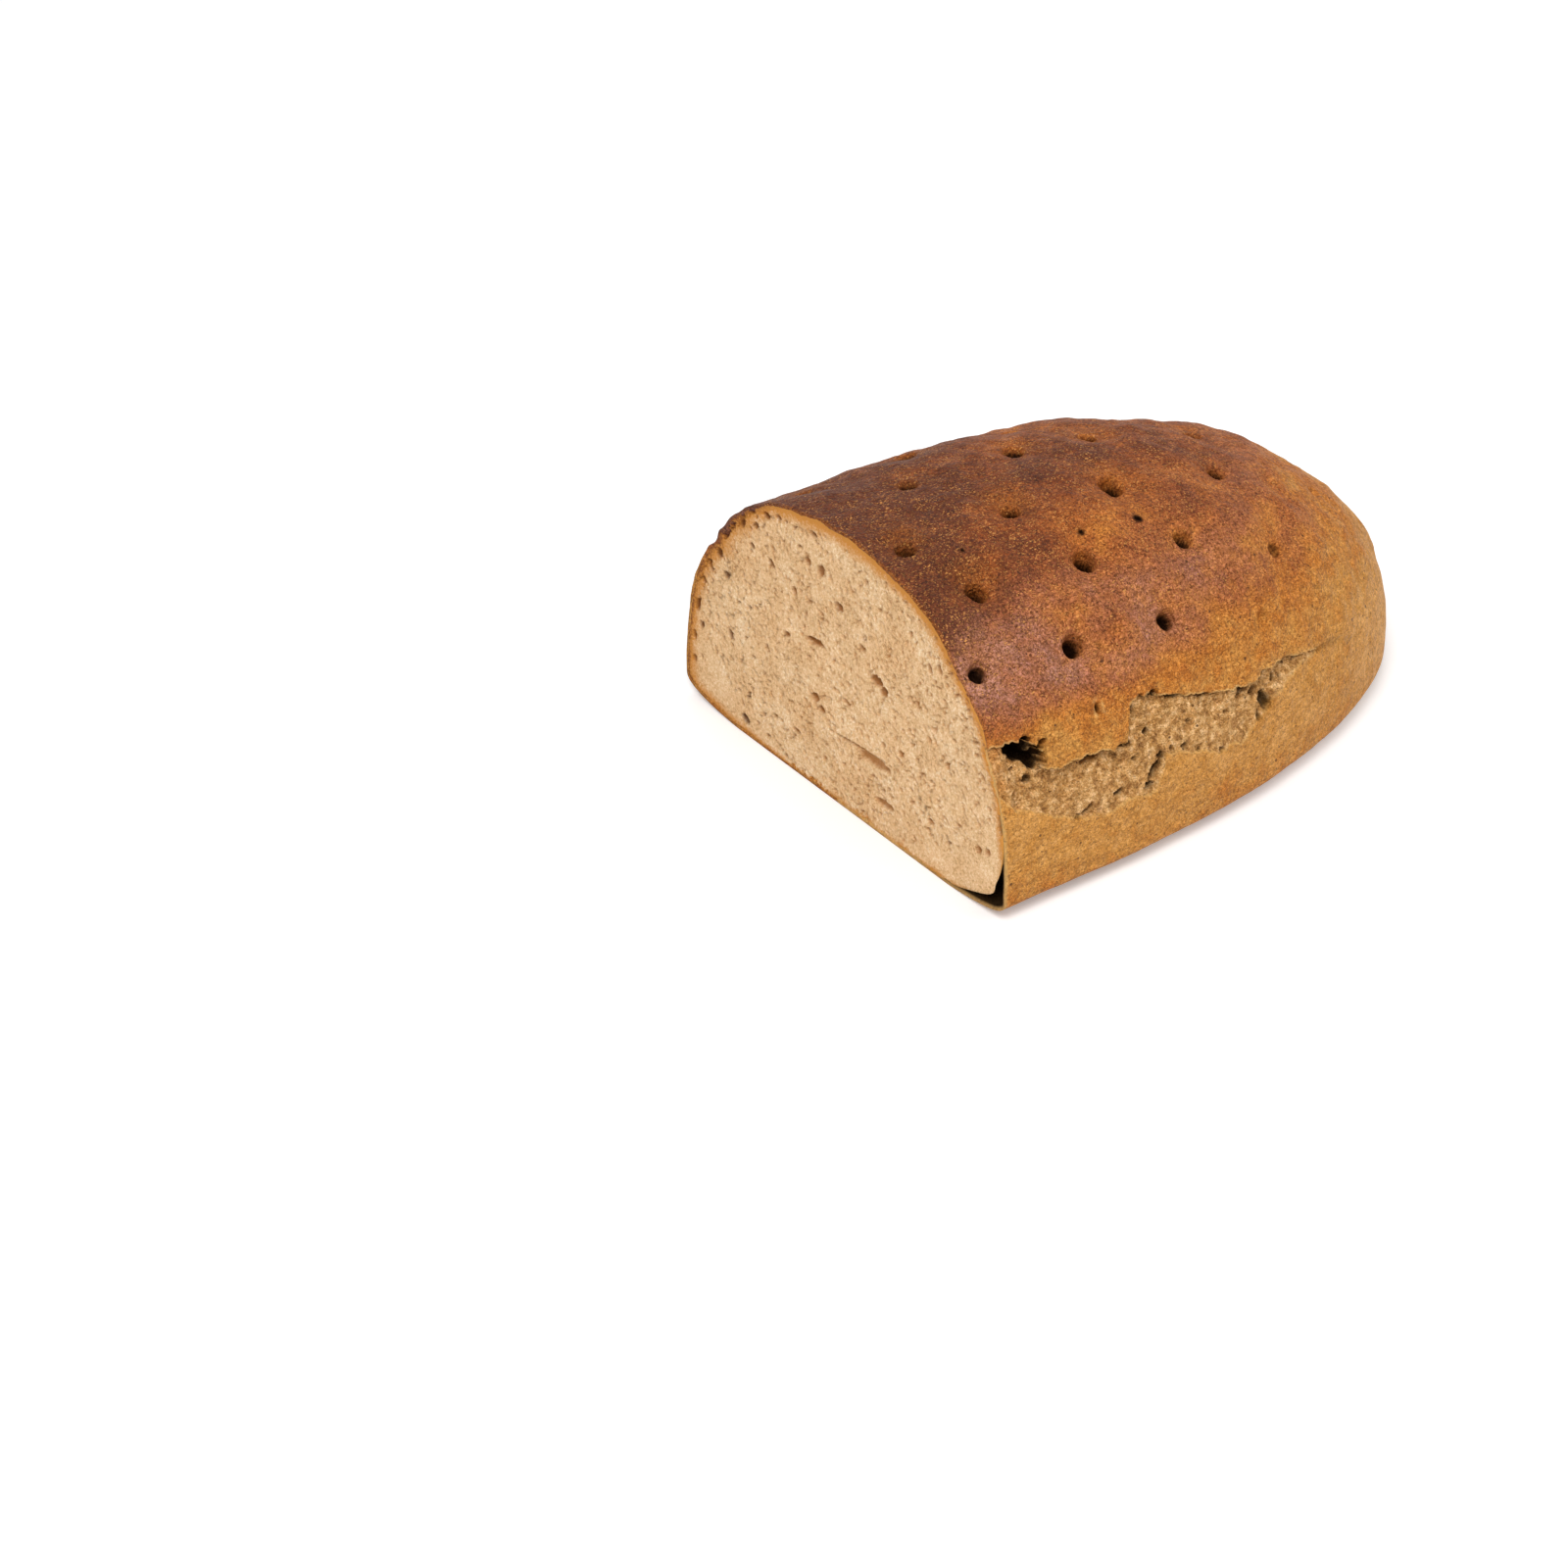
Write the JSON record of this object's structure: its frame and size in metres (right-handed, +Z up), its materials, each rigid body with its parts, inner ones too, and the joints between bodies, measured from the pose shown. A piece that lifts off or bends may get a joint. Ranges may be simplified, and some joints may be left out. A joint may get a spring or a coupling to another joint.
{
  "type": "cut rye bread loaf",
  "caption": "Loaf of rye bread cut across: a domed brown crust with docking holes and a long split on one side, a flat crumb face at the cut and a rounded heel.",
  "frame": {"origin": "middle of the flat base", "axes": "+X along the loaf from the cut face to the rounded heel, +Z up, the split side is -Y"},
  "size_m": [0.167, 0.13, 0.077],
  "materials": {
    "rye_bread": "baked rye crust, dark on top and golden tan low down, with a pale porous crumb at the cut; matte_plastic stands in for bread"
  },
  "bodies": {
    "root": {"loaf": "rye_bread"}
  },
  "joints": []
}
